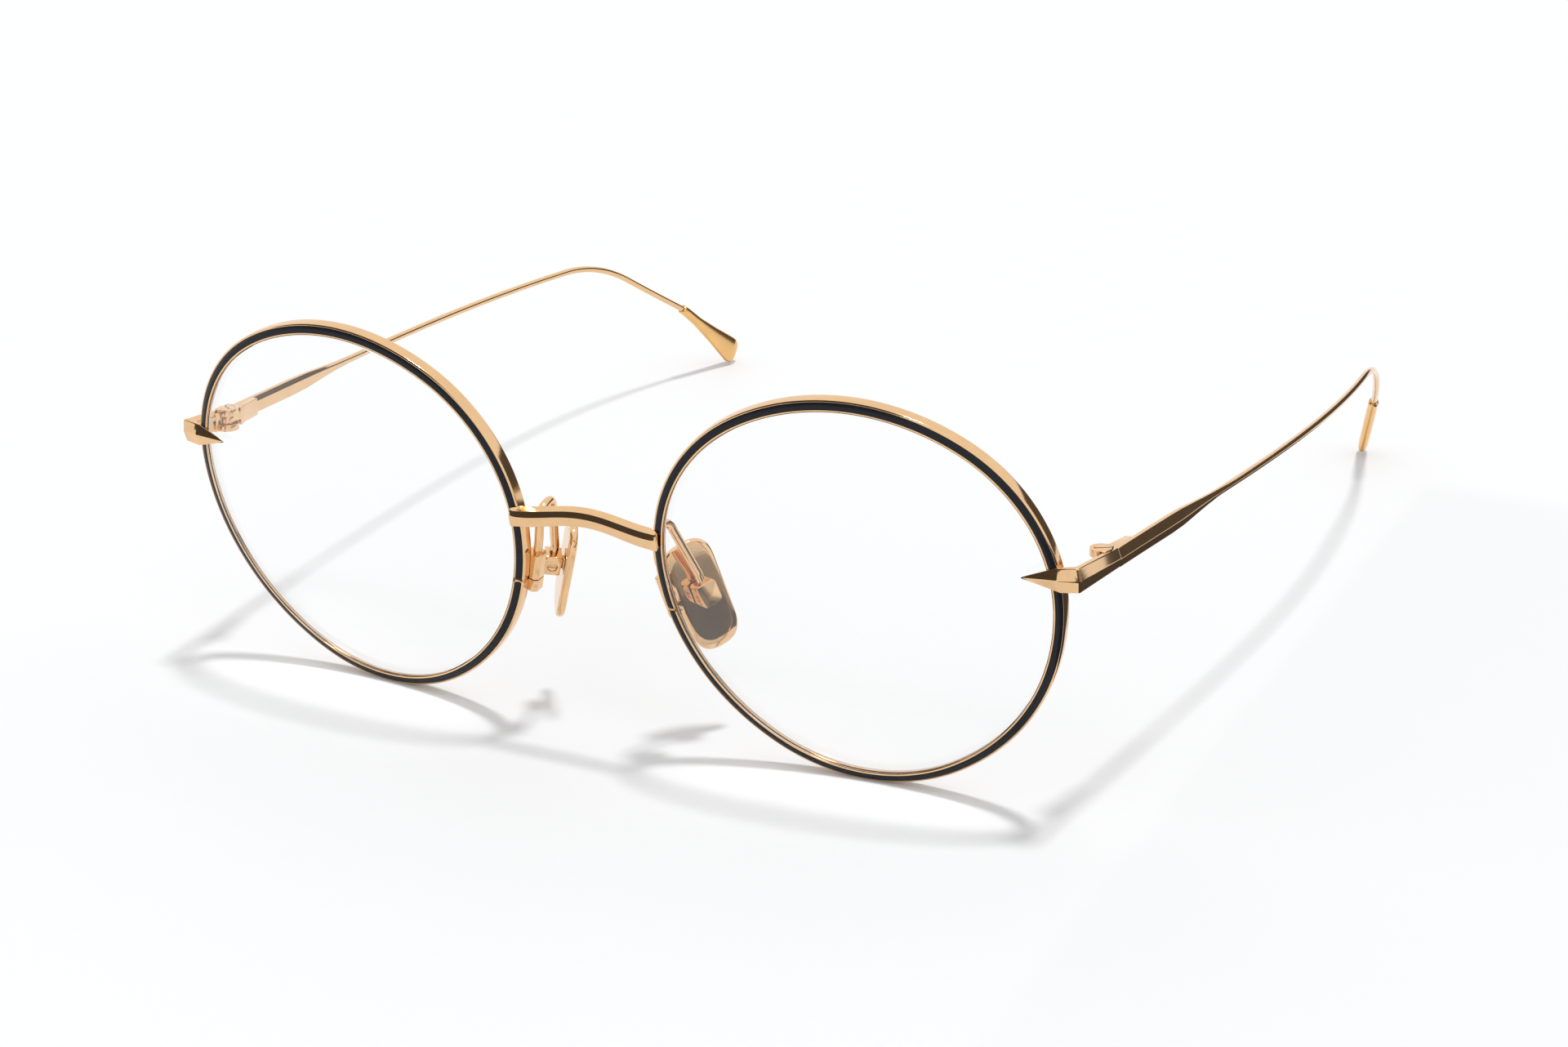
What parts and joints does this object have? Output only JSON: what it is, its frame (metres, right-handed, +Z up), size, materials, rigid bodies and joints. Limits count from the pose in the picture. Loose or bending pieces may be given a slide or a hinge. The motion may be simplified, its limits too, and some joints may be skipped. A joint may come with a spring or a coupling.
{
  "type": "eyeglasses",
  "caption": "Round metal eyeglasses with enamelled rims, clear lenses, arched bridge, rocking nose pads and thin folding temples.",
  "frame": {"origin": "middle of the footprint, on the ground the frame stands on", "axes": "+Z up, the lenses face -Y, the wearer's left eye is at +X"},
  "size_m": [0.137, 0.1532, 0.0515],
  "materials": {
    "frame_gold": "polished",
    "tip_gold": "polished",
    "pad_gold": "mirror",
    "screw_gold": "polished",
    "enamel": "gloss black enamel",
    "lens": "clear, polished both sides"
  },
  "bodies": {
    "front": {"bridge": "frame_gold", "rim_left": "frame_gold", "enamel_top_left": "enamel", "enamel_nose_left": "enamel", "enamel_bottom_left": "enamel", "lens_left": "lens", "rim_lock_upper_left": "frame_gold", "rim_lock_lower_left": "frame_gold", "rim_lock_screw_left": "screw_gold", "pad_arm_left": "frame_gold", "pad_box_left": "frame_gold", "pad_screw_left": "screw_gold", "endpiece_left": "frame_gold", "hinge_front_left": "frame_gold", "hinge_screw_left": "screw_gold", "rim_right": "frame_gold", "enamel_top_right": "enamel", "enamel_nose_right": "enamel", "enamel_bottom_right": "enamel", "lens_right": "lens", "rim_lock_upper_right": "frame_gold", "rim_lock_lower_right": "frame_gold", "rim_lock_screw_right": "screw_gold", "pad_arm_right": "frame_gold", "pad_box_right": "frame_gold", "pad_screw_right": "screw_gold", "endpiece_right": "frame_gold", "hinge_front_right": "frame_gold", "hinge_screw_right": "screw_gold"},
    "temple_left": {"temple_left": "frame_gold", "temple_tip_left": "tip_gold", "hinge_temple_left": "frame_gold"},
    "temple_right": {"temple_right": "frame_gold", "temple_tip_right": "tip_gold", "hinge_temple_right": "frame_gold"},
    "nose_pad_left": {"nose_pad_left": "pad_gold", "pad_stem_left": "pad_gold"},
    "nose_pad_right": {"nose_pad_right": "pad_gold", "pad_stem_right": "pad_gold"}
  },
  "joints": [
    {"name": "temple_left_fold", "type": "hinge", "parent": "front", "child": "temple_left", "pos_m": [0.06228, -0.06229, 0.02997], "axis": [0, 0.056, 0.9984], "range_deg": [0, 91.5]},
    {"name": "temple_right_fold", "type": "hinge", "parent": "front", "child": "temple_right", "pos_m": [-0.06228, -0.06229, 0.02997], "axis": [0, -0.056, -0.9984], "range_deg": [0, 86]},
    {"name": "nose_pad_left_rock", "type": "hinge", "parent": "front", "child": "nose_pad_left", "pos_m": [0.01137, -0.06428, 0.01969], "axis": [0.5106, 0.8026, 0.3084], "range_deg": [-8, 8]},
    {"name": "nose_pad_right_rock", "type": "hinge", "parent": "front", "child": "nose_pad_right", "pos_m": [-0.01137, -0.06428, 0.01969], "axis": [0.5106, -0.8026, -0.3084], "range_deg": [-8, 8]}
  ]
}
